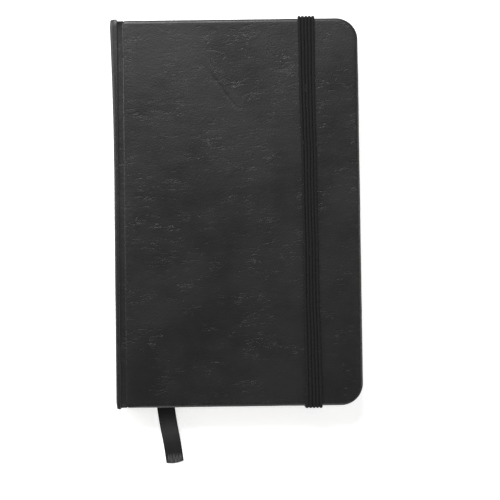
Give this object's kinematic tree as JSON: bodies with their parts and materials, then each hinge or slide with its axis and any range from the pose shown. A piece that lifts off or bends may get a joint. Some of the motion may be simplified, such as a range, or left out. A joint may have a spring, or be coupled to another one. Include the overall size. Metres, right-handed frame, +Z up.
{
  "type": "pocket notebook",
  "caption": "Case-bound pocket notebook with leatherette covers, a sewn page block, an elastic closure band and a ribbon marker; opens flat on its spine.",
  "frame": {"origin": "middle of the covers' height and width, on the back cover's outer face", "axes": "+X from the spine to the fore edge, +Y to the head, +Z up through the book, out of the front cover"},
  "size_m": [0.0896, 0.1637, 0.0143],
  "materials": {
    "leatherette": "semi-matt black imitation leather, fine grain with short creases",
    "book_board": "grey book board",
    "endpaper": "plain ivory endpaper",
    "page_paper": "uncoated ivory writing paper",
    "thread": "white sewing thread",
    "lining_cloth": "open-weave lining cloth",
    "elastic": "black ribbed woven elastic",
    "ribbon": "black satin ribbon with woven edges"
  },
  "bodies": {
    "back_cover": {"back_board": "book_board", "back_cover_wrap": "leatherette", "back_pastedown": "endpaper", "back_flyleaf": "endpaper", "signature_01": "page_paper", "sewing_thread_01": "thread", "spine_lining": "lining_cloth", "elastic_head_anchor": "elastic", "elastic_tail_anchor": "elastic"},
    "spine": {"spine_card": "book_board", "spine_wrap": "leatherette", "back_joint": "leatherette", "front_joint": "leatherette"},
    "front_cover": {"front_board": "book_board", "front_cover_wrap": "leatherette", "front_pastedown": "endpaper", "front_flyleaf": "endpaper", "signature_10": "page_paper", "sewing_thread_10": "thread"},
    "signature_02": {"signature_02": "page_paper", "sewing_thread_02": "thread"},
    "signature_03": {"signature_03": "page_paper", "sewing_thread_03": "thread"},
    "signature_04": {"signature_04": "page_paper", "sewing_thread_04": "thread"},
    "signature_05": {"signature_05": "page_paper", "sewing_thread_05": "thread", "ribbon_marker": "ribbon"},
    "signature_06": {"signature_06": "page_paper", "sewing_thread_06": "thread"},
    "signature_07": {"signature_07": "page_paper", "sewing_thread_07": "thread"},
    "signature_08": {"signature_08": "page_paper", "sewing_thread_08": "thread"},
    "signature_09": {"signature_09": "page_paper", "sewing_thread_09": "thread"},
    "turning_leaf_lower": {"turning_leaf_lower": "page_paper"},
    "turning_leaf_upper": {"turning_leaf_upper": "page_paper"},
    "ribbon_tail": {"ribbon_tail": "ribbon"},
    "elastic_legs": {"elastic_head_leg": "elastic", "elastic_tail_leg": "elastic"},
    "elastic_strand": {"elastic_strand": "elastic"}
  },
  "joints": [
    {"name": "spine_fold", "type": "hinge", "parent": "back_cover", "child": "spine", "pos_m": [-0.04355, 0, 0.0012], "axis": [0, -1, 0], "range_deg": [0, 90], "deforming": ["back_joint", "spine_lining"]},
    {"name": "cover_open", "type": "hinge", "parent": "spine", "child": "front_cover", "pos_m": [-0.04355, 0, 0.01229], "axis": [0, -1, 0], "range_deg": [0, 90], "deforming": ["front_joint"]},
    {"name": "signature_02_slide", "type": "slide", "parent": "back_cover", "child": "signature_02", "axis": [-1, 0, 0], "range_m": [0, 0.0017]},
    {"name": "signature_03_slide", "type": "slide", "parent": "back_cover", "child": "signature_03", "axis": [-1, 0, 0], "range_m": [0, 0.0034]},
    {"name": "signature_04_slide", "type": "slide", "parent": "back_cover", "child": "signature_04", "axis": [-1, 0, 0], "range_m": [0, 0.0051]},
    {"name": "signature_05_slide", "type": "slide", "parent": "back_cover", "child": "signature_05", "axis": [-1, 0, 0], "range_m": [0, 0.0068]},
    {"name": "signature_06_slide", "type": "slide", "parent": "front_cover", "child": "signature_06", "axis": [-1, 0, 0], "range_m": [0, 0.0068]},
    {"name": "signature_07_slide", "type": "slide", "parent": "front_cover", "child": "signature_07", "axis": [-1, 0, 0], "range_m": [0, 0.0051]},
    {"name": "signature_08_slide", "type": "slide", "parent": "front_cover", "child": "signature_08", "axis": [-1, 0, 0], "range_m": [0, 0.0034]},
    {"name": "signature_09_slide", "type": "slide", "parent": "front_cover", "child": "signature_09", "axis": [-1, 0, 0], "range_m": [0, 0.0017]},
    {"name": "turning_leaf_lower_lift", "type": "hinge", "parent": "signature_05", "child": "turning_leaf_lower", "pos_m": [-0.04215, 0, 0.00677], "axis": [0, -1, 0], "range_deg": [0, 34]},
    {"name": "turning_leaf_upper_lift", "type": "hinge", "parent": "signature_06", "child": "turning_leaf_upper", "pos_m": [-0.04215, 0, 0.007], "axis": [0, 1, 0], "range_deg": [0, 52]},
    {"name": "ribbon_lift", "type": "hinge", "parent": "signature_05", "child": "ribbon_tail", "pos_m": [-0.02715, -0.0713, 0.00675], "axis": [-0.9917, -0.1288, 0], "range_deg": [0, 90]},
    {"name": "band_swing", "type": "hinge", "parent": "back_cover", "child": "elastic_legs", "pos_m": [0.02635, 0, 0.0024], "axis": [0, 1, 0], "range_deg": [0, 180], "deforming": ["elastic_head_leg", "elastic_tail_leg"]},
    {"name": "band_return", "type": "slide", "parent": "elastic_legs", "child": "elastic_strand", "axis": [0, 0, -1], "range_m": [0, 0.00869], "deforming": ["elastic_strand"]}
  ],
  "couplings": [
    {"joint": "spine_fold", "follows": "cover_open", "ratio": 1},
    {"joint": "signature_02_slide", "follows": "cover_open", "m_per_rad": 0.0010815},
    {"joint": "signature_03_slide", "follows": "cover_open", "m_per_rad": 0.0021629},
    {"joint": "signature_04_slide", "follows": "cover_open", "m_per_rad": 0.0032444},
    {"joint": "signature_05_slide", "follows": "cover_open", "m_per_rad": 0.0043258},
    {"joint": "signature_06_slide", "follows": "cover_open", "m_per_rad": 0.0043258},
    {"joint": "signature_07_slide", "follows": "cover_open", "m_per_rad": 0.0032444},
    {"joint": "signature_08_slide", "follows": "cover_open", "m_per_rad": 0.0021629},
    {"joint": "signature_09_slide", "follows": "cover_open", "m_per_rad": 0.0010815},
    {"joint": "turning_leaf_lower_lift", "follows": "cover_open", "ratio": 0.37778},
    {"joint": "turning_leaf_upper_lift", "follows": "cover_open", "ratio": 0.57778},
    {"joint": "band_swing", "follows": "cover_open", "ratio": 2},
    {"joint": "band_return", "follows": "cover_open", "m_per_rad": 0.0055322}
  ]
}
